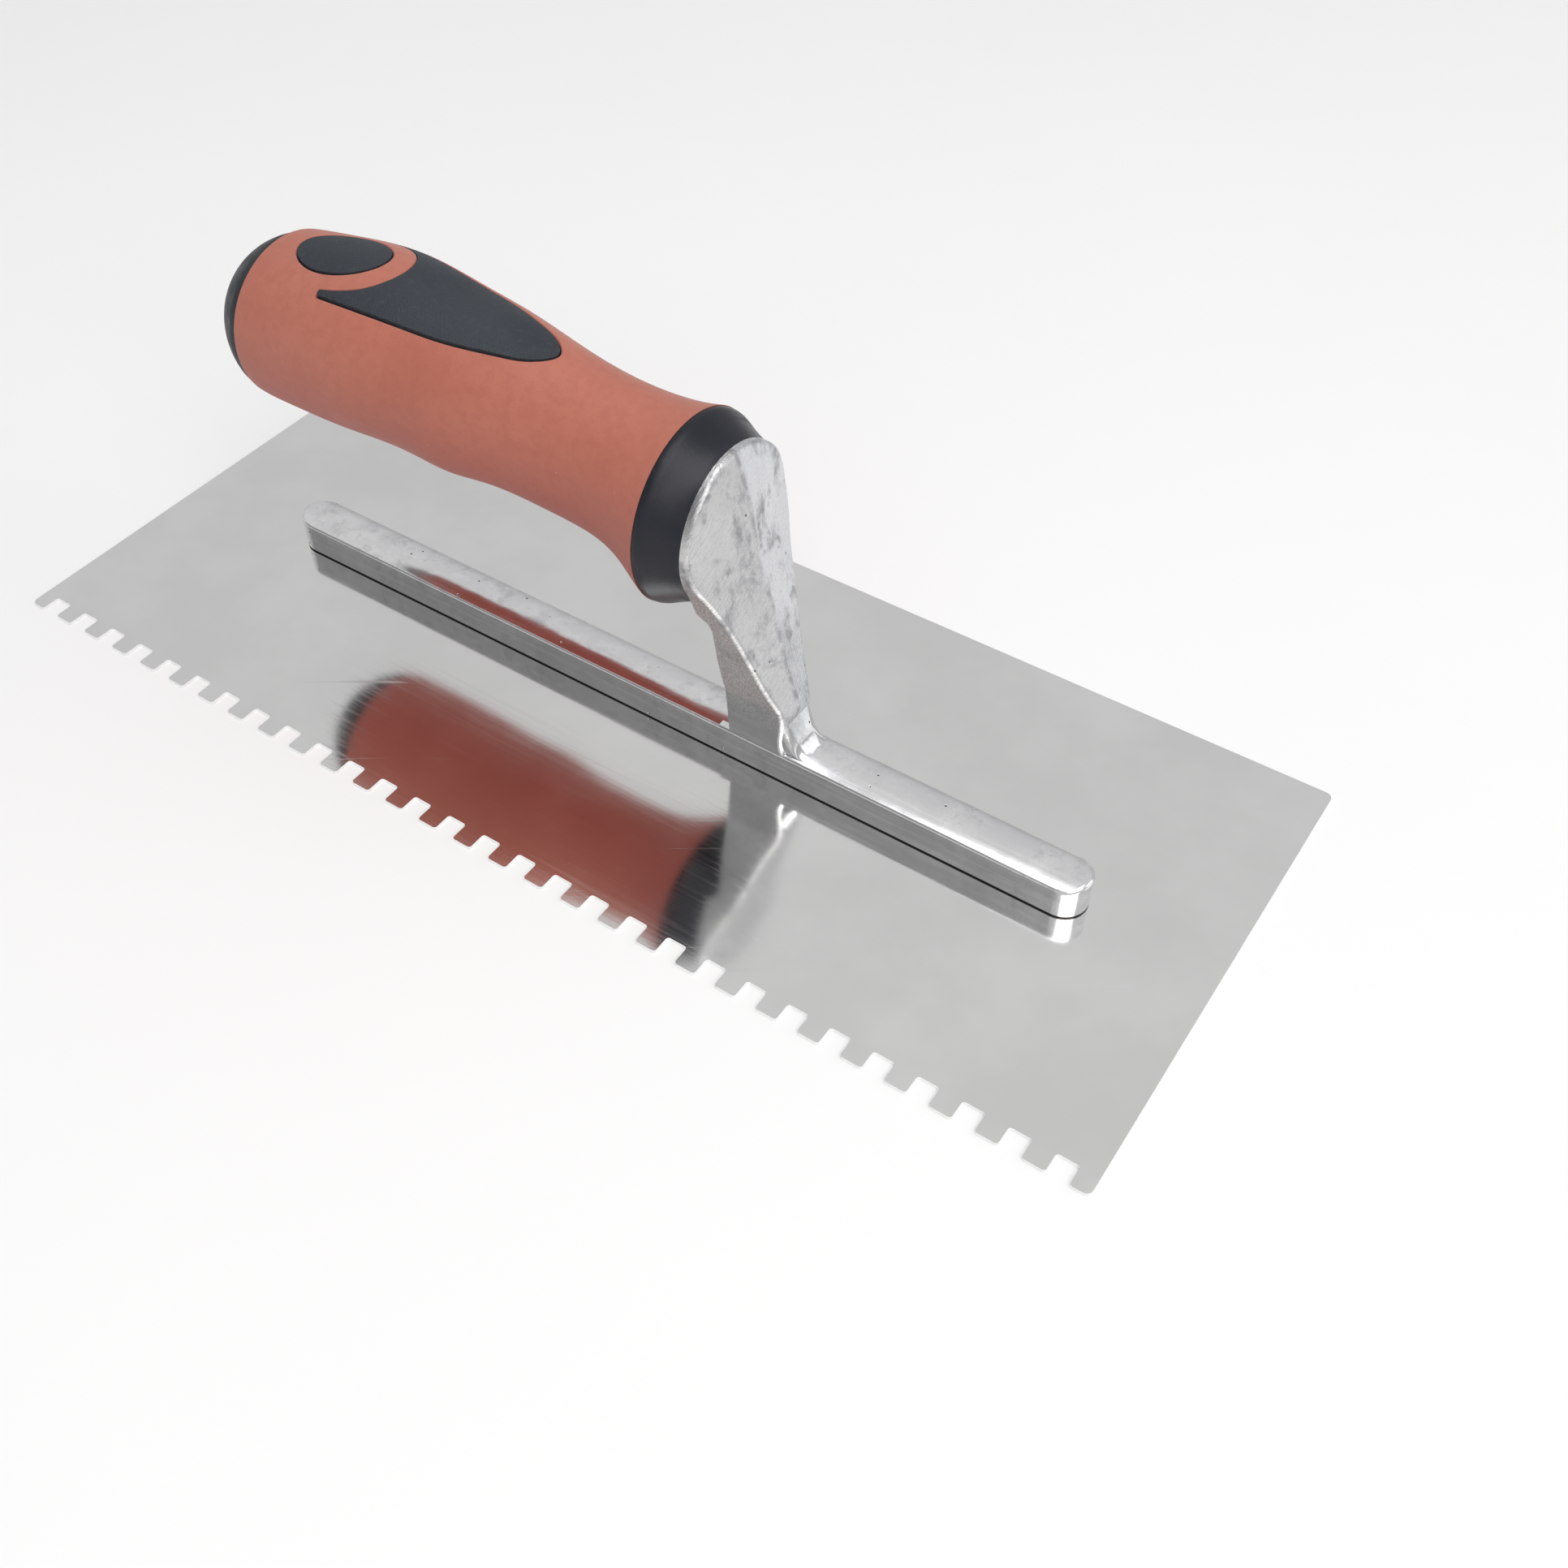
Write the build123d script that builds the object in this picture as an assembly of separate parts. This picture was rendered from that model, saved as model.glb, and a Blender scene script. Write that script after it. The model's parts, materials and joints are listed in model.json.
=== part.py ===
"""Notched trowel: a notched steel blade riveted under a cast aluminium mounting, with a soft-grip handle.

Frame: millimetres, +Z up, +X towards the toe of the blade, -Y towards the notched long edge.
The origin is the centre of the blade's underside, which is the face that the trowel rests on.
"""

import os
from math import sqrt

from build123d import *

# ---- driving dimensions: blade ----
BLADE_LENGTH = 279.4
BLADE_WIDTH = 114.3
BLADE_THICKNESS = 0.8
BLADE_CORNER_RADIUS = 1.5
NOTCH_PITCH = 9.525
NOTCH_WIDTH = 4.76
NOTCH_DEPTH = 4.45
NOTCH_CORNER_RADIUS = 0.7
NOTCH_COUNT = 29

# ---- driving dimensions: mounting bar ----
BAR_LENGTH = 212.8
BAR_WIDTH = 10.8
BAR_SIDE_HEIGHT = 7.6
BAR_CROWN = 1.1
BAR_CENTRE_X = 4.0
BAR_EDGE_RADIUS = 0.8
BAR_JOINT_CHAMFER = 0.35

# ---- driving dimensions: rivets ----
RIVET_COUNT = 9
RIVET_PITCH = 24.0
RIVET_RADIUS = 1.8
RIVET_HEAD_RADIUS = 2.9
RIVET_GRIP = 5.0

# ---- driving dimensions: shank ----
HEAD_X = 24.5
HEAD_Z = 60.6
HEAD_RADIUS = 16.9
SHANK_HALF_WIDTH = 5.2
SHANK_EDGE_RADIUS = 1.0
# front ridge line and how far each facet falls back per millimetre of width, from top to bottom
SHANK_FACE = [  # (z, ridge x, facet slope)
    (80.0, 25.4, 0.00),
    (76.5, 26.3, 0.04),
    (69.0, 28.7, 0.16),
    (61.0, 30.4, 0.24),
    (53.0, 31.8, 0.20),
    (45.0, 34.2, 0.19),
    (36.0, 36.6, 0.17),
    (27.0, 38.8, 0.12),
    (18.0, 41.2, 0.07),
    (5.0, 44.6, 0.04),
]
# half widths of the shank below its round head
SHANK_OUTLINE = [(15.7, 54.3), (13.3, 49.0), (10.5, 40.0), (8.1, 30.0), (5.5, 20.5)]
# slanted back of the shank below the handle: (x, z) from top to bottom
SHANK_BACK = [(24.5, 45.6), (26.9, 43.4), (27.4, 41.4), (27.2, 38.0), (26.8, 32.0), (26.6, 20.0), (27.2, 9.0)]
# flare that carries the front of the shank out onto the top of the bar
FOOT_REAR_X = 34.0
FOOT_FLARE = [  # (z, front x, width, corner radius) of its sections
    (8.9, 47.6, 9.0, 3.4),
    (9.8, 45.4, 9.3, 3.0),
    (11.2, 44.0, 9.6, 2.7),
    (13.4, 42.8, 9.8, 2.4),
    (17.0, 41.3, 10.0, 2.0),
]
SPIGOT_SIDE = 13.0
SPIGOT_LENGTH = 22.0
SPIGOT_CORNER = 2.0

# ---- driving dimensions: handle ----
GRIP_STATIONS = [  # (x, top z, bottom z, half width) of the oval sections, from rear to front
    (-94.0, 83.9, 49.3, 17.25),
    (-86.0, 85.9, 48.3, 18.8),
    (-78.0, 87.2, 48.5, 19.3),
    (-67.0, 88.7, 49.0, 19.8),
    (-54.0, 88.6, 49.8, 19.2),
    (-38.0, 86.6, 48.7, 18.1),
    (-22.0, 84.4, 49.1, 15.5),
    (-5.0, 81.3, 47.7, 14.6),
    (4.0, 80.5, 45.8, 15.7),
    (10.5, 80.4, 42.6, 17.9),
    (15.5, 80.9, 40.3, 20.25),
]
GRIP_REAR_X = -90.2
GRIP_REAR_Z = 66.4
GRIP_FRONT_X = GRIP_STATIONS[-1][0]
GRIP_WALL = 3.2
GRIP_REAR_ROUNDING = 0.6
COLLAR_PROFILE = [(15.5, 20.1), (16.7, 20.1), (18.6, 19.3), (21.5, 17.9), (24.5, 16.9)]  # (x, radius)
COLLAR_BORE_RADIUS = 11.0
CAP_RADIUS = 17.5
CAP_LIP = 2.0
CAP_HEIGHT = 13.8
CAP_EDGE_RADIUS = 2.0
CAP_PLUG_LENGTH = 7.0

# ---- driving dimensions: inlays in the top of the grip, in plan view ----
OVAL_CENTRE_X = -71.3
OVAL_LENGTH = 23.2
OVAL_WIDTH = 14.6
LEAF_SIDE = [(-68.6, 11.7), (-57.0, 11.5), (-46.0, 10.3), (-34.0, 8.6), (-25.0, 6.3), (-18.3, 3.3)]
LEAF_TIP_X = -16.0
LEAF_HOLLOW = [(-68.4, 10.8), (-63.3, 9.9), (-57.6, 7.0), (-54.2, 0)]
LEAF_CORNER_RADIUS = 0.35
INLAY_GAP = 0.25
WINDOW_EDGE_RADIUS = 0.4
INLAY_FLOOR_Z = 70.0

# ---- driving dimensions: handle fastener, all on the handle axis ----
BOLT_RADIUS = 3.0
BOLT_BORE_RADIUS = 3.3
BOLT_THREAD_DEPTH = 16.0
BOLT_HEAD_RADIUS = 5.5
BOLT_HEAD_HEIGHT = 5.0
BOLT_SOCKET_RADIUS = 2.9
BOLT_SOCKET_DEPTH = 3.0
WASHER_RADIUS = 7.0
WASHER_THICKNESS = 1.5
LOCK_WASHER_RADIUS = 5.2
LOCK_WASHER_THICKNESS = 1.4
LOCK_WASHER_SLIT = 0.9
COUNTERBORE_RADIUS = 8.0
COUNTERBORE_DEPTH = 18.0

BLADE_TOP = BLADE_THICKNESS
BAR_SIDE_TOP = BLADE_TOP + BAR_SIDE_HEIGHT
BAR_TOP = BAR_SIDE_TOP + BAR_CROWN


# ---- handle axis: from the head of the shank back to the middle of the grip's rear end ----
AXIS_RISE = GRIP_REAR_Z - HEAD_Z
AXIS_LENGTH = sqrt((HEAD_X - GRIP_REAR_X) ** 2 + AXIS_RISE**2)
AXIS_REARWARD = Vector(GRIP_REAR_X - HEAD_X, 0, AXIS_RISE).normalized()
HANDLE_AXIS = Plane(origin=(HEAD_X, 0, HEAD_Z), x_dir=(0, 1, 0), z_dir=AXIS_REARWARD)
GRIP_REAR = Plane(origin=(GRIP_REAR_X, 0, GRIP_REAR_Z), x_dir=(0, 1, 0), z_dir=(-1, 0, 0))
BOLT_SEAT = AXIS_LENGTH - COUNTERBORE_DEPTH
LOCK_WASHER_SEAT = BOLT_SEAT + WASHER_THICKNESS
HEAD_SEAT = LOCK_WASHER_SEAT + LOCK_WASHER_THICKNESS


def along_axis(distance):
    """A plane across the handle axis, its normal pointing rearwards, at a distance from the shank's head."""
    return HANDLE_AXIS.offset(distance)


def rod(start, end, radius):
    """A round bar on the handle axis between two distances from the shank's head."""
    return extrude(along_axis(start) * Circle(radius), end - start)


def spigot(length):
    """The rounded square peg on the handle axis, starting just inside the shank's head."""
    return extrude(along_axis(-1) * RectangleRounded(SPIGOT_SIDE, SPIGOT_SIDE, SPIGOT_CORNER), length + 1)


def make_blade():
    sheet = Rectangle(BLADE_LENGTH, BLADE_WIDTH)
    sheet = fillet(sheet.vertices(), BLADE_CORNER_RADIUS)
    notch_cut = Rectangle(NOTCH_WIDTH, 2 * NOTCH_DEPTH)
    edge_y = -BLADE_WIDTH / 2
    for index in range(NOTCH_COUNT):
        x = (index - (NOTCH_COUNT - 1) / 2) * NOTCH_PITCH
        sheet -= Pos(x, edge_y) * notch_cut
    inner_limit = edge_y + NOTCH_DEPTH + 0.1
    corners = [v for v in sheet.vertices() if v.Y < inner_limit and abs(v.X) < BLADE_LENGTH / 2 - 2]
    sheet = fillet(corners, NOTCH_CORNER_RADIUS)
    blade = extrude(sheet, BLADE_THICKNESS)
    for x in rivet_positions():
        blade -= rivet_at(x)
    return blade


def rivet_positions():
    first = BAR_CENTRE_X - RIVET_PITCH * (RIVET_COUNT - 1) / 2
    return [first + RIVET_PITCH * index for index in range(RIVET_COUNT)]


def rivet_at(x):
    """A countersunk rivet, its head flush with the blade's underside and its stem set into the bar."""
    profile = Polyline(
        (0, 0),
        (RIVET_HEAD_RADIUS, 0),
        (RIVET_RADIUS, BLADE_THICKNESS),
        (RIVET_RADIUS, BLADE_THICKNESS + RIVET_GRIP),
        (0, BLADE_THICKNESS + RIVET_GRIP),
        close=True,
    )
    return Pos(x, 0, 0) * revolve(Plane.XZ * make_face(profile), Axis.Z)


def make_bar():
    """A long bar with round ends, upright sides, a gently crowned top and a relieved edge on the blade."""
    outline = SlotOverall(BAR_LENGTH, BAR_WIDTH)
    upright = extrude(Plane.XY.offset(BLADE_TOP) * outline, BAR_SIDE_HEIGHT + BAR_CROWN)
    half = BAR_WIDTH / 2
    crown_radius = (half**2 + BAR_CROWN**2) / (2 * BAR_CROWN)
    across = Plane.YZ.offset(-BAR_LENGTH / 2) * Pos(0, BAR_TOP - crown_radius) * Circle(crown_radius)
    bar = upright & extrude(across, BAR_LENGTH)
    top_edges = [e for e in bar.edges() if e.center().Z > BAR_SIDE_TOP - 1]
    bar = fillet(top_edges, BAR_EDGE_RADIUS)
    bar = chamfer(bar.edges().group_by(Axis.Z)[0], BAR_JOINT_CHAMFER)
    return Pos(BAR_CENTRE_X, 0, 0) * bar


def make_shank():
    """The shield-shaped head with a ridged front, narrowing down to the bar."""
    reach = 1.2 * HEAD_RADIUS
    sections = []
    for z, ridge, slope in SHANK_FACE:
        edge = ridge - slope * reach
        corners = [(HEAD_X, -reach), (edge, -reach), (ridge, 0), (edge, reach), (HEAD_X, reach)]
        sections.append(Plane.XY.offset(z) * make_face(Polyline(*corners, close=True)))
    block = loft(sections)
    foot_z = SHANK_FACE[-1][0]
    right = [Vector(y, z) for y, z in SHANK_OUTLINE]
    left = [Vector(-y, z) for y, z in reversed(SHANK_OUTLINE)]
    outline = [
        ThreePointArc(left[-1], (0, HEAD_Z + HEAD_RADIUS), right[0]),
        Spline(*right),
        Polyline(right[-1], (SHANK_HALF_WIDTH, foot_z), (-SHANK_HALF_WIDTH, foot_z), left[0]),
        Spline(*left),
    ]
    shank = block & extrude(Plane.YZ.offset(HEAD_X) * make_face(outline), 2 * reach)
    shank = fillet([e for e in shank.edges() if is_front_edge(e)], SHANK_EDGE_RADIUS)
    top, bottom = SHANK_BACK[0][1], SHANK_BACK[-1][1]
    relief = make_face(Polyline(*SHANK_BACK, (0, bottom), (0, top), close=True))
    shank -= extrude(Plane.XZ * relief, reach, both=True)
    return shank + make_foot()


def make_foot():
    """The flare between the front of the shank and the top of the bar, with round front corners."""
    sections = []
    for z, front_x, width, corner in FOOT_FLARE:
        plan = RectangleRounded(front_x - FOOT_REAR_X, width, corner)
        sections.append(Plane.XY.offset(z) * Pos((FOOT_REAR_X + front_x) / 2, 0) * plan)
    return loft(sections)


def is_front_edge(edge):
    """True for the long edges where the front facets meet the sides of the shank, above the bar."""
    at = edge.center()
    runs_down = edge.bounding_box().size.Z > 5
    return runs_down and at.X > HEAD_X + 1 and abs(at.Y) > 1 and at.Z > BAR_TOP


def make_mounting():
    """One casting: the bar, the shank standing on it and the spigot that the handle slides onto."""
    casting = make_bar() + make_shank()
    casting += spigot(SPIGOT_LENGTH)
    casting -= rod(SPIGOT_LENGTH - BOLT_THREAD_DEPTH, SPIGOT_LENGTH, BOLT_RADIUS)
    for x in rivet_positions():
        casting -= rivet_at(x)
    return casting


def grip_form(inset):
    """The handle's outer form, or the form a given distance inside it, cut off upright at the rear."""
    sections = []
    for x, top, bottom, half_width in GRIP_STATIONS:
        oval = Ellipse(half_width - inset, (top - bottom) / 2 - inset)
        seam_below = Pos(0, (top + bottom) / 2) * Rot(0, 0, 180)
        sections.append(Plane.YZ.offset(x) * seam_below * oval)
    form = loft(sections)
    behind = extrude(GRIP_REAR * Circle(2 * HEAD_RADIUS), CAP_HEIGHT)
    return form - behind


def make_core():
    """The hard core inside the grip, with a socket for the spigot, a bolt bore and a counterbore."""
    core = grip_form(GRIP_WALL)
    neck = Plane.YZ.offset(GRIP_FRONT_X) * Pos(0, HEAD_Z) * Circle(COLLAR_BORE_RADIUS)
    core += extrude(neck, HEAD_X - GRIP_FRONT_X)
    core -= spigot(SPIGOT_LENGTH)
    core -= rod(SPIGOT_LENGTH, BOLT_SEAT, BOLT_BORE_RADIUS)
    core -= rod(BOLT_SEAT, AXIS_LENGTH + 1, COUNTERBORE_RADIUS)
    return core


def oval_outline(gap):
    """Plan view of the thumb rest, grown by a gap."""
    return Pos(OVAL_CENTRE_X, 0) * Ellipse(OVAL_LENGTH / 2 + gap, OVAL_WIDTH / 2 + gap)


def leaf_outline(gap):
    """Plan view of the palm inlay: a leaf whose hollow rear end follows the thumb rest, grown by a gap."""
    half_side = [(x, y + gap) for x, y in LEAF_SIDE] + [(LEAF_TIP_X + gap, 0)]
    half_hollow = [(x - gap, y) for x, y in LEAF_HOLLOW]
    side = Spline(*half_side, *mirrored(half_side))
    hollow = Spline(*half_hollow, *mirrored(half_hollow))
    tips = [Line(side @ 0, hollow @ 0), Line(side @ 1, hollow @ 1)]
    leaf = make_face([side, hollow] + tips)
    return fillet(leaf.vertices(), LEAF_CORNER_RADIUS)


def mirrored(points):
    """The other half of a symmetric outline, starting after its middle point."""
    return [(x, -y) for x, y in reversed(points[:-1])]


def inlay_prism(outline):
    """An outline carried up through the top of the grip."""
    return extrude(Plane.XY.offset(INLAY_FLOOR_Z) * outline, 2 * HEAD_RADIUS)


def cut_window(grip, skin, outline):
    """The grip with a window of an outline cut through it, its edge on the outer skin rounded."""
    prism = inlay_prism(outline)
    grip -= prism
    rim = [e for e in grip.edges() if lies_on(e, prism) and lies_on(e, skin)]
    return fillet(rim, WINDOW_EDGE_RADIUS)


def lies_on(edge, form):
    """True for an edge whose points are all on the surface of a form."""
    surface = form.shell()
    return all(surface.distance_to(edge @ share) < 0.01 for share in (0.2, 0.5, 0.8))


def make_collar():
    """The flared ring between the grip and the head of the shank."""
    rear_x, front_x = COLLAR_PROFILE[0][0], COLLAR_PROFILE[-1][0]
    outer = Spline(*COLLAR_PROFILE)
    inner = Polyline(COLLAR_PROFILE[-1], (front_x, COLLAR_BORE_RADIUS), (rear_x, COLLAR_BORE_RADIUS), COLLAR_PROFILE[0])
    ring = Plane.XZ * make_face([outer, inner])
    return Pos(0, 0, HEAD_Z) * revolve(ring, Axis.X)


def make_cap():
    """The domed end cap with a plug that closes the counterbore."""
    bulge = CAP_HEIGHT - CAP_LIP
    dome_radius = (CAP_RADIUS**2 + bulge**2) / (2 * bulge)
    ball = Pos(0, 0, CAP_HEIGHT - dome_radius) * Sphere(dome_radius)
    dome = ball & extrude(Circle(CAP_RADIUS), CAP_HEIGHT)
    rim = [e for e in dome.edges() if e.is_closed and e.center().Z > CAP_LIP / 2]
    dome = fillet(rim, CAP_EDGE_RADIUS)
    plug = rod(AXIS_LENGTH - CAP_PLUG_LENGTH, AXIS_LENGTH + 1, COUNTERBORE_RADIUS)
    return GRIP_REAR.location * dome + plug


def make_bolt():
    """The long screw from the counterbore into the spigot, with a hexagon socket in its head."""
    stem = rod(SPIGOT_LENGTH - BOLT_THREAD_DEPTH + 1, HEAD_SEAT, BOLT_RADIUS)
    head_end = HEAD_SEAT + BOLT_HEAD_HEIGHT
    head = rod(HEAD_SEAT, head_end, BOLT_HEAD_RADIUS)
    socket = along_axis(head_end - BOLT_SOCKET_DEPTH) * RegularPolygon(BOLT_SOCKET_RADIUS, 6)
    return stem + head - extrude(socket, BOLT_SOCKET_DEPTH)


def make_washer():
    return rod(BOLT_SEAT, LOCK_WASHER_SEAT, WASHER_RADIUS) - rod(BOLT_SEAT, LOCK_WASHER_SEAT, BOLT_BORE_RADIUS)


def make_lock_washer():
    ring = rod(LOCK_WASHER_SEAT, HEAD_SEAT, LOCK_WASHER_RADIUS) - rod(LOCK_WASHER_SEAT, HEAD_SEAT, BOLT_BORE_RADIUS)
    slit = Pos(0, LOCK_WASHER_RADIUS / 2) * Rectangle(LOCK_WASHER_SLIT, LOCK_WASHER_RADIUS)
    return ring - extrude(along_axis(LOCK_WASHER_SEAT) * slit, LOCK_WASHER_THICKNESS)


def make_parts():
    """Every separate piece, by node name."""
    skin = grip_form(0)
    skin = fillet(skin.faces().sort_by(Axis.X)[0].edges(), GRIP_REAR_ROUNDING)
    shell = skin - grip_form(GRIP_WALL)
    grip = cut_window(shell, skin, oval_outline(INLAY_GAP))
    grip = cut_window(grip, skin, leaf_outline(INLAY_GAP))
    parts = {
        "blade": make_blade(),
        "mounting": make_mounting(),
        "handle_core": make_core(),
        "grip_shell": grip,
        "thumb_inlay": shell & inlay_prism(oval_outline(0)),
        "palm_inlay": shell & inlay_prism(leaf_outline(0)),
        "front_collar": make_collar(),
        "butt_cap": make_cap(),
        "handle_bolt": make_bolt(),
        "flat_washer": make_washer(),
        "lock_washer": make_lock_washer(),
    }
    for number, x in enumerate(rivet_positions(), start=1):
        parts[f"blade_rivet_{number}"] = rivet_at(x)
    return parts


def main():
    os.makedirs("parts", exist_ok=True)
    for name, part in make_parts().items():
        export_step(part, f"parts/{name}.step")


if __name__ == "__main__":
    main()
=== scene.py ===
"""Looks for the notched trowel: materials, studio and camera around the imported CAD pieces."""

import json

import bpy
from mathutils import Matrix, Vector

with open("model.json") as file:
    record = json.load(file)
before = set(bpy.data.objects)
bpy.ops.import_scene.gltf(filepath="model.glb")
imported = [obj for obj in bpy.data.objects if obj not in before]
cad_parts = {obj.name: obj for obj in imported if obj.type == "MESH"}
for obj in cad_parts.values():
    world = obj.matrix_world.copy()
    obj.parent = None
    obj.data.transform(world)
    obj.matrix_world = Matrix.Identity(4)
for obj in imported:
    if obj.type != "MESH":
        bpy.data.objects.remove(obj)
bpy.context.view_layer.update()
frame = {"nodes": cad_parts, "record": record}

MM = 0.001


# ---------------------------------------------------------------- shader helpers
def set_range(node, low, high, to_low, to_high):
    """Fills in the four ends of a Map Range node."""
    for key, number in zip(("From Min", "From Max", "To Min", "To Max"), (low, high, to_low, to_high)):
        node.inputs[key].default_value = number


class Shader:
    """Builds one procedural material, with every pattern laid out in the object's own space."""

    def __init__(self, name):
        self.material = bpy.data.materials.new(name)
        self.material.use_nodes = True
        self.tree = self.material.node_tree
        self.tree.nodes.clear()
        self.surface = self.node("ShaderNodeBsdfPrincipled")
        output = self.node("ShaderNodeOutputMaterial")
        self.link(self.surface.outputs["BSDF"], output.inputs["Surface"])
        self.space = self.node("ShaderNodeTexCoord").outputs["Object"]

    def node(self, kind, **settings):
        """A new node with its settings."""
        made = self.tree.nodes.new(kind)
        for key, value in settings.items():
            setattr(made, key, value)
        return made

    def link(self, source, target):
        self.tree.links.new(source, target)

    def stretched(self, scale, turn=(0, 0, 0)):
        """The object's space, turned and then scaled along each axis."""
        mapping = self.node("ShaderNodeMapping", vector_type="TEXTURE")
        mapping.inputs["Rotation"].default_value = turn
        mapping.inputs["Scale"].default_value = [1 / s for s in scale]
        self.link(self.space, mapping.inputs["Vector"])
        return mapping.outputs["Vector"]

    def noise(self, scale, detail=2.0, rough=0.5, space=None, warp=0.0):
        """A noise field from 0 to 1, its scale in features per metre."""
        made = self.node("ShaderNodeTexNoise")
        made.inputs["Scale"].default_value = scale
        made.inputs["Detail"].default_value = detail
        made.inputs["Roughness"].default_value = rough
        made.inputs["Distortion"].default_value = warp
        self.link(space or self.space, made.inputs["Vector"])
        return made.outputs["Fac"]

    def cells(self, scale, space=None):
        """Distance to the nearest of a scatter of points, its scale in points per metre."""
        made = self.node("ShaderNodeTexVoronoi")
        made.inputs["Scale"].default_value = scale
        self.link(space or self.space, made.inputs["Vector"])
        return made.outputs["Distance"]

    def spread(self, value, low, high, to_low=0.0, to_high=1.0):
        """Maps low..high onto to_low..to_high with a smooth step, and holds it there outside."""
        made = self.node("ShaderNodeMapRange", interpolation_type="SMOOTHSTEP")
        set_range(made, low, high, to_low, to_high)
        self.link(value, made.inputs["Value"])
        return made.outputs["Result"]

    def math(self, operation, first, second=None, third=None):
        """One Math node; each of its values is a number or a socket."""
        made = self.node("ShaderNodeMath", operation=operation)
        for socket, value in zip(made.inputs, (first, second, third)):
            if value is None:
                continue
            if isinstance(value, (int, float)):
                socket.default_value = value
            else:
                self.link(value, socket)
        return made.outputs["Value"]

    def axis(self, letter):
        """One coordinate of the object's space, in metres."""
        made = self.node("ShaderNodeSeparateXYZ")
        self.link(self.space, made.inputs["Vector"])
        return made.outputs[letter]

    def tint(self, factor, first, second):
        """A colour between two, each a colour or a socket."""
        made = self.node("ShaderNodeMix", data_type="RGBA")
        for key, value in (("A", first), ("B", second)):
            socket = next(s for s in made.inputs if s.name == key and s.type == "RGBA")
            if isinstance(value, tuple):
                socket.default_value = (*value, 1.0)
            else:
                self.link(value, socket)
        self.link(factor, made.inputs["Factor"])
        return next(s for s in made.outputs if s.type == "RGBA")

    def between(self, factor, first, second):
        """A number between two others."""
        made = self.node("ShaderNodeMix", data_type="FLOAT")
        for socket, source in zip(made.inputs, (factor, None, first, second)):
            if source is not None:
                self.link(source, socket)
        return made.outputs[0]

    def bump(self, height, depth, before=None):
        """Relief from a height field from 0 to 1; depth in metres."""
        made = self.node("ShaderNodeBump")
        made.inputs["Strength"].default_value = 1.0
        made.inputs["Distance"].default_value = depth
        self.link(height, made.inputs["Height"])
        if before is not None:
            self.link(before, made.inputs["Normal"])
        return made.outputs["Normal"]

    def set(self, key, value):
        """Sets one input of the surface shader."""
        socket = self.surface.inputs[key]
        if isinstance(value, bpy.types.NodeSocket):
            self.link(value, socket)
        elif isinstance(value, tuple):
            socket.default_value = (*value, 1.0)
        else:
            socket.default_value = value


# ---------------------------------------------------------------- materials
def grip_rubber():
    """Soft terracotta rubber with painted shade and red bounce light underneath, a fine grain and a few pale
    specks.
    """
    s = Shader("grip_rubber")
    broad = s.noise(28, 3, 0.55)
    fine = s.noise(420, 4, 0.6)
    tone = s.tint(s.spread(broad, 0.3, 0.7), (0.425, 0.128, 0.083), (0.475, 0.152, 0.102))
    tone = s.tint(s.spread(fine, 0.35, 0.7, 0.0, 0.35), tone, (0.37, 0.105, 0.068))
    specks = s.spread(s.cells(700), 0.05, 0.11, 1.0, 0.0)
    rare = s.math("MULTIPLY", specks, s.spread(s.noise(160, 1), 0.62, 0.68))
    # painted shade and red bounce light: the rubber turns darker and redder towards the underside of the
    # grip
    underside = s.spread(s.axis("Z"), 76 * MM, 48 * MM, 0.0, 0.9)
    tone = s.tint(underside, tone, (0.35, 0.066, 0.046))
    s.set("Base Color", s.tint(rare, tone, (0.62, 0.36, 0.29)))
    s.set("Roughness", s.spread(s.noise(60, 4, 0.6), 0.3, 0.7, 0.5, 0.64))
    s.set("Specular IOR Level", 0.42)
    s.set("Sheen Weight", 0.12)
    s.set("Sheen Roughness", 0.5)
    grain = s.bump(s.noise(2600, 2, 0.5), 0.00006)
    grain = s.bump(s.noise(900, 2, 0.5), 0.00005, grain)
    s.set("Normal", s.bump(rare, 0.00006, grain))
    return s.material


def inlay_rubber():
    """Stippled blue-black rubber."""
    s = Shader("inlay_rubber")
    fine = s.noise(800, 3, 0.6)
    tone = s.tint(s.spread(s.noise(45, 3), 0.3, 0.7), (0.021, 0.027, 0.036), (0.031, 0.038, 0.048))
    s.set("Base Color", s.tint(s.spread(fine, 0.45, 0.75, 0.0, 0.5), tone, (0.050, 0.060, 0.072)))
    s.set("Roughness", s.spread(fine, 0.3, 0.7, 0.55, 0.72))
    s.set("Specular IOR Level", 0.4)
    stipple = s.spread(s.cells(1900), 0.0, 0.6)
    s.set("Normal", s.bump(s.noise(3200, 2), 0.00005, s.bump(stipple, 0.00007)))
    return s.material


def collar_plastic():
    """Satin black plastic with faint rings from handling."""
    s = Shader("collar_plastic")
    patches = s.spread(s.noise(90, 4), 0.35, 0.7)
    s.set("Base Color", s.tint(patches, (0.010, 0.011, 0.017), (0.016, 0.017, 0.024)))
    rub = s.spread(s.noise(500, 5, 0.7, s.stretched((1, 0.12, 0.12))), 0.5, 0.75)
    s.set("Roughness", s.math("MULTIPLY_ADD", rub, 0.18, 0.33))
    s.set("Specular IOR Level", 0.32)
    lines = s.noise(900, 4, 0.6, s.stretched((1, 0.05, 0.05)))
    s.set("Normal", s.bump(s.noise(1500, 2), 0.00002, s.bump(lines, 0.00002)))
    return s.material


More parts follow.
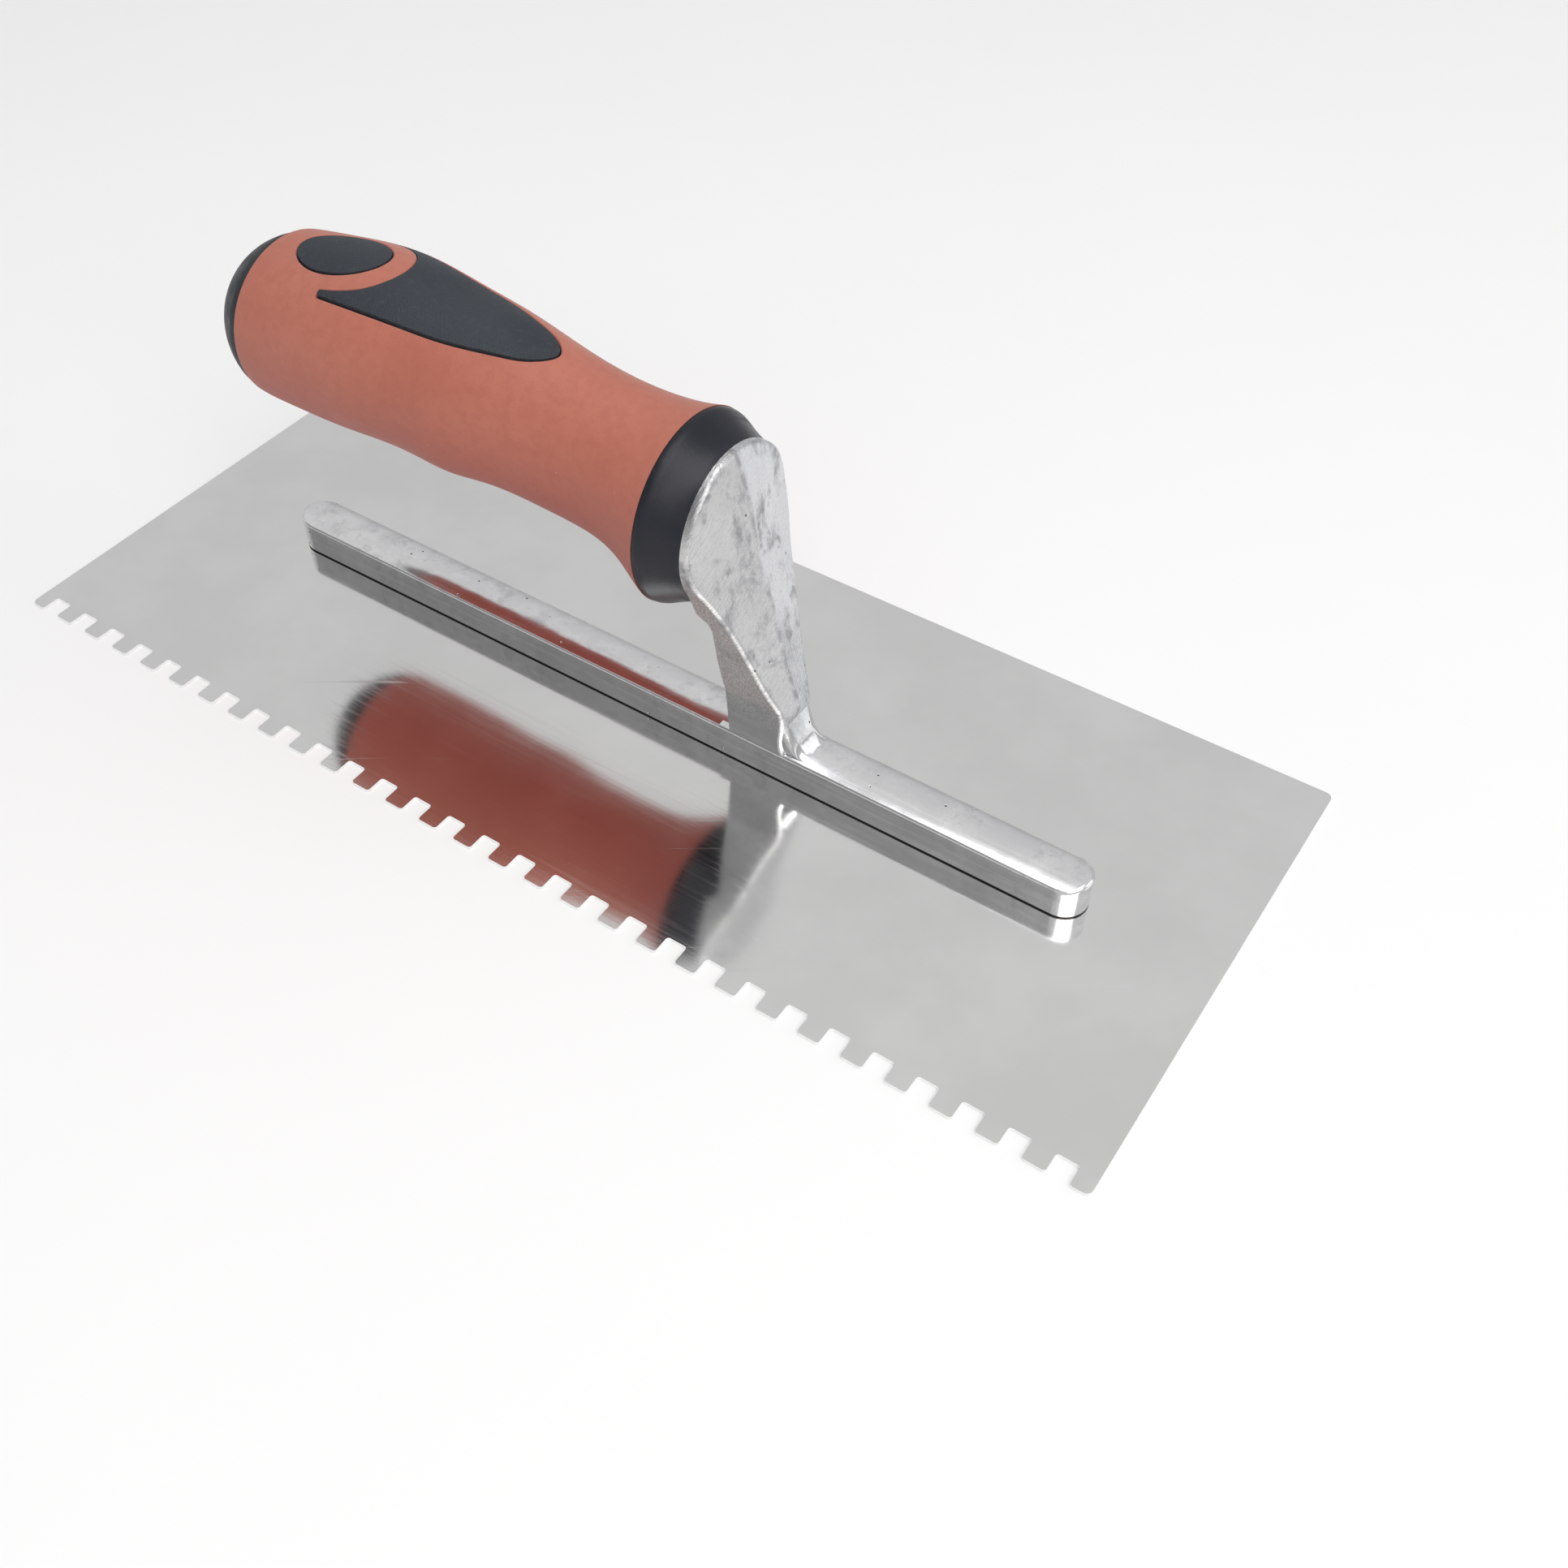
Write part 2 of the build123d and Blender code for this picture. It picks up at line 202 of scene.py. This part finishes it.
def cap_plastic():
    """Matt black plastic with a fine moulded grain."""
    s = Shader("cap_plastic")
    patches = s.spread(s.noise(120, 4), 0.35, 0.7)
    s.set("Base Color", s.tint(patches, (0.018, 0.020, 0.024), (0.028, 0.030, 0.035)))
    s.set("Roughness", s.spread(s.noise(300, 4, 0.65), 0.3, 0.7, 0.42, 0.62))
    s.set("Normal", s.bump(s.noise(2400, 2), 0.00006, s.bump(s.cells(1500), 0.00004)))
    return s.material


def cast_aluminium():
    """Bright polish on the bar and coarser grinding on the shank, over a casting with pits and stains."""
    s = Shader("cast_aluminium")
    across, height = s.axis("Y"), s.axis("Z")
    shank = s.spread(height, 11 * MM, 20 * MM)
    # painted shade: the shank's facet on the -Y side is marked for a darker tone
    painted_near_facet_shade = s.math("MULTIPLY", shank, s.spread(across, 0.6 * MM, -0.6 * MM))
    blotch = s.noise(85, 6, 0.7, warp=0.8)
    stain = s.spread(s.noise(190, 7, 0.75, s.stretched((1, 1, 0.6))), 0.44, 0.68)
    stain = s.math("MULTIPLY", stain, s.spread(blotch, 0.40, 0.56))
    stain = s.math("MULTIPLY", stain, s.math("MULTIPLY_ADD", shank, 0.65, 0.35))
    ridge = s.math("MULTIPLY", shank, s.spread(s.math("ABSOLUTE", across), 1.1 * MM, 0.2 * MM))
    ridge = s.math("MULTIPLY", ridge, s.spread(s.noise(240, 5, 0.7), 0.42, 0.60, 0.0, 0.7))
    tone = s.tint(s.spread(blotch, 0.3, 0.7), (0.80, 0.80, 0.81), (0.92, 0.92, 0.925))
    tone = s.tint(s.math("MULTIPLY", shank, 0.7), tone, (0.66, 0.67, 0.70))
    # painted shade darkens the shank's -Y facet
    tone = s.tint(s.math("MULTIPLY", painted_near_facet_shade, 0.6), tone, (0.52, 0.51, 0.50))
    tone = s.tint(s.math("MAXIMUM", stain, ridge), tone, (0.30, 0.30, 0.32))
    pits = s.spread(s.cells(300, space=s.stretched((1, 1.4, 1))), 0.05, 0.12, 1.0, 0.0)
    pits = s.math("MULTIPLY", pits, s.spread(s.noise(110, 2), 0.54, 0.60))
    joint = s.spread(height, 1.35 * MM, 1.1 * MM)
    s.set("Base Color", s.tint(s.math("MAXIMUM", pits, joint), tone, (0.05, 0.048, 0.046)))
    s.set("Metallic", 1.0)
    lengthwise = s.noise(700, 5, 0.65, s.stretched((0.03, 1, 1)))
    slanting = s.noise(2000, 4, 0.65, s.stretched((1, 0.04, 1), (0.7, 0.25, 0.0)))
    bar_gloss = s.math("MULTIPLY_ADD", s.spread(lengthwise, 0.4, 0.75), 0.14, 0.11)
    shank_gloss = s.math("MULTIPLY_ADD", s.spread(slanting, 0.35, 0.7), 0.20, 0.19)
    gloss = s.between(shank, bar_gloss, shank_gloss)
    gloss = s.math("MULTIPLY_ADD", stain, 0.2, gloss)
    s.set("Roughness", s.math("MULTIPLY_ADD", pits, 0.4, gloss))
    relief = s.bump(lengthwise, 0.000012)
    relief = s.bump(s.math("MULTIPLY", slanting, shank), 0.00014, relief)
    relief = s.bump(s.noise(75, 2), 0.0002, relief)
    s.set("Normal", s.bump(s.math("SUBTRACT", 1.0, pits), 0.00014, relief))
    return s.material


def blade_steel():
    """Mirror-polished sheet with fine lengthwise lines, and duller sheared edges."""
    s = Shader("blade_steel")
    s.set("Metallic", 1.0)
    facing = s.node("ShaderNodeSeparateXYZ")
    s.link(s.node("ShaderNodeNewGeometry").outputs["Normal"], facing.inputs["Vector"])
    edge = s.spread(s.math("ABSOLUTE", facing.outputs["Z"]), 0.6, 0.3, 0.0, 1.0)
    haze = s.spread(s.noise(26, 4, 0.6), 0.35, 0.7)
    tone = s.tint(haze, (0.80, 0.80, 0.79), (0.86, 0.86, 0.85))
    s.set("Base Color", s.tint(edge, tone, (0.90, 0.90, 0.90)))
    rolled = s.noise(1400, 5, 0.7, s.stretched((0.02, 1, 1)))
    scratch = s.spread(s.noise(700, 2, 0.5, s.stretched((0.02, 1, 1), (0, 0, 0.6))), 0.70, 0.73)
    shear = s.noise(2500, 3, 0.6, s.stretched((1, 1, 0.1)))
    gloss = s.math("MULTIPLY_ADD", s.spread(rolled, 0.4, 0.8), 0.08, 0.07)
    gloss = s.math("MULTIPLY_ADD", haze, 0.04, gloss)
    gloss = s.math("MULTIPLY_ADD", scratch, 0.10, gloss)
    s.set("Roughness", s.math("MULTIPLY_ADD", edge, 0.2, gloss))
    relief = s.bump(rolled, 0.000003, s.bump(s.noise(16, 1), 0.00012))
    s.set("Normal", s.bump(s.math("MULTIPLY", shear, edge), 0.00003, relief))
    return s.material


def turned_metal(name, colour):
    """Machined small metal pieces, slightly mottled."""
    s = Shader(name)
    s.set("Metallic", 1.0)
    darker = tuple(0.8 * channel for channel in colour)
    s.set("Base Color", s.tint(s.spread(s.noise(700, 4), 0.3, 0.7), colour, darker))
    s.set("Roughness", s.spread(s.noise(1200, 4, 0.6), 0.3, 0.7, 0.25, 0.45))
    s.set("Normal", s.bump(s.noise(2400, 3), 0.00002))
    return s.material


def core_plastic():
    """Plain hard plastic of the handle's core, with a moulded grain."""
    s = Shader("core_plastic")
    s.set("Base Color", s.tint(s.noise(200, 3), (0.02, 0.02, 0.024), (0.035, 0.035, 0.04)))
    s.set("Roughness", s.spread(s.noise(500, 3), 0.3, 0.7, 0.45, 0.6))
    s.set("Normal", s.bump(s.noise(1500, 2), 0.00004))
    return s.material


FINISHES = {
    "blade_steel": blade_steel(),
    "cast_aluminium": cast_aluminium(),
    "rivet_metal": turned_metal("rivet_metal", (0.74, 0.74, 0.75)),
    "core_plastic": core_plastic(),
    "grip_rubber": grip_rubber(),
    "inlay_rubber": inlay_rubber(),
    "collar_plastic": collar_plastic(),
    "cap_plastic": cap_plastic(),
    "zinc_steel": turned_metal("zinc_steel", (0.62, 0.62, 0.60)),
}
for part in frame["record"]["subparts"]:
    piece = frame["nodes"][part["node"]]
    slot = part["material_slot"]
    piece.data.materials.clear()
    piece.data.materials.append(FINISHES[slot])


# ---------------------------------------------------------------- studio
FLOOR_REACH = 8.0
ROOM_BRIGHTNESS = 0.70
HORIZON_COLOUR = (0.62, 0.62, 0.63)
ZENITH_COLOUR = (1.0, 1.0, 1.0)
COLOURS_BETWEEN = ((0.12, (0.60, 0.60, 0.606)), (0.40, (0.85, 0.85, 0.8585)))  # (height from 0 to 1, colour)
DARK_QUARTER = (-0.50, -0.62, 0.60)
DARK_QUARTER_EDGES = (0.84, 0.995)
DARK_QUARTER_SHADE = 0.40
LIGHTS = (  # name, place, height of its aim above the origin, side of its square, watts, colour
    ("key", (0.75, -0.55, 0.95), 0.03, 1.0, 5.5, (1.0, 0.985, 0.96)),
    ("overhead", (0.15, -0.1, 1.6), 0.03, 1.0, 8.0, (1.0, 1.0, 1.0)),
    ("fill", (1.1, 0.6, 0.6), 0.05, 0.9, 2.0, (0.96, 0.98, 1.0)),
)


def pale_floor():
    """A wide matt floor at the height of the blade's underside."""
    corners = [(-FLOOR_REACH, -FLOOR_REACH, 0), (FLOOR_REACH, -FLOOR_REACH, 0)]
    corners += [(FLOOR_REACH, FLOOR_REACH, 0), (-FLOOR_REACH, FLOOR_REACH, 0)]
    mesh = bpy.data.meshes.new("floor")
    mesh.from_pydata(corners, [], [(0, 1, 2, 3)])
    floor = bpy.data.objects.new("floor", mesh)
    bpy.context.scene.collection.objects.link(floor)
    s = Shader("floor_paint")
    s.set("Base Color", s.tint(s.noise(6, 3), (0.86, 0.86, 0.86), (0.89, 0.89, 0.885)))
    s.set("Roughness", s.spread(s.noise(90, 3), 0.3, 0.7, 0.7, 0.8))
    mesh.materials.append(s.material)


def soft_light(name, place, aim_height, side, watts, colour):
    """A square area light that faces the object."""
    lamp = bpy.data.lights.new(name, "AREA")
    lamp.size = side
    lamp.energy = watts
    lamp.color = colour
    holder = bpy.data.objects.new(name, lamp)
    holder.location = place
    holder.rotation_euler = (Vector((0, 0, aim_height)) - Vector(place)).to_track_quat("-Z", "Y").to_euler()
    bpy.context.scene.collection.objects.link(holder)


def surroundings():
    """A pale room, brightest overhead, with a darker quarter that gives the polished metal some contrast."""
    world = bpy.data.worlds.new("studio")
    bpy.context.scene.world = world
    world.use_nodes = True
    tree = world.node_tree
    tree.nodes.clear()
    direction = tree.nodes.new("ShaderNodeTexCoord").outputs["Generated"]

    split = tree.nodes.new("ShaderNodeSeparateXYZ")
    ramp = tree.nodes.new("ShaderNodeValToRGB")
    tree.links.new(direction, split.inputs["Vector"])
    tree.links.new(split.outputs["Z"], ramp.inputs["Fac"])
    stops = ramp.color_ramp.elements
    stops[0].color = (*HORIZON_COLOUR, 1)
    stops[1].color = (*ZENITH_COLOUR, 1)
    for height, colour in COLOURS_BETWEEN:
        stops.new(height).color = (*colour, 1)

    towards = tree.nodes.new("ShaderNodeVectorMath")
    towards.operation = "DOT_PRODUCT"
    towards.inputs[1].default_value = DARK_QUARTER
    quarter = tree.nodes.new("ShaderNodeMapRange")
    quarter.interpolation_type = "SMOOTHSTEP"
    set_range(quarter, *DARK_QUARTER_EDGES, 1.0, DARK_QUARTER_SHADE)
    tree.links.new(direction, towards.inputs[0])
    tree.links.new(towards.outputs["Value"], quarter.inputs["Value"])

    shaded = tree.nodes.new("ShaderNodeVectorMath")
    shaded.operation = "SCALE"
    background = tree.nodes.new("ShaderNodeBackground")
    background.inputs["Strength"].default_value = ROOM_BRIGHTNESS
    output = tree.nodes.new("ShaderNodeOutputWorld")
    tree.links.new(ramp.outputs["Color"], shaded.inputs[0])
    tree.links.new(quarter.outputs["Result"], shaded.inputs["Scale"])
    tree.links.new(shaded.outputs["Vector"], background.inputs["Color"])
    tree.links.new(background.outputs["Background"], output.inputs["Surface"])


pale_floor()
surroundings()
for settings in LIGHTS:
    soft_light(*settings)


# ---------------------------------------------------------------- camera
CAMERA_PLACE = Vector((174.9, -212.15, 267.0)) * MM
CAMERA_RIGHT = Vector((0.82349, 0.56728, -0.00689))
CAMERA_UP = Vector((-0.41032, 0.60393, 0.68331))
CAMERA_BACK = CAMERA_RIGHT.cross(CAMERA_UP)
SENSOR = 36.0
LENS = 1.0796 * SENSOR
SHIFT = (0.0274, -0.0072)
NEAREST = 0.01

camera = bpy.data.objects.new("camera", bpy.data.cameras.new("camera"))
bpy.context.scene.collection.objects.link(camera)
camera.data.sensor_width = SENSOR
camera.data.lens = LENS
camera.data.shift_x, camera.data.shift_y = SHIFT
camera.data.clip_start = NEAREST
turn = Matrix((CAMERA_RIGHT, CAMERA_UP, CAMERA_BACK)).transposed()
camera.matrix_world = Matrix.Translation(CAMERA_PLACE) @ turn.to_4x4()
bpy.context.scene.camera = camera
bpy.context.scene.view_settings.view_transform = "Standard"
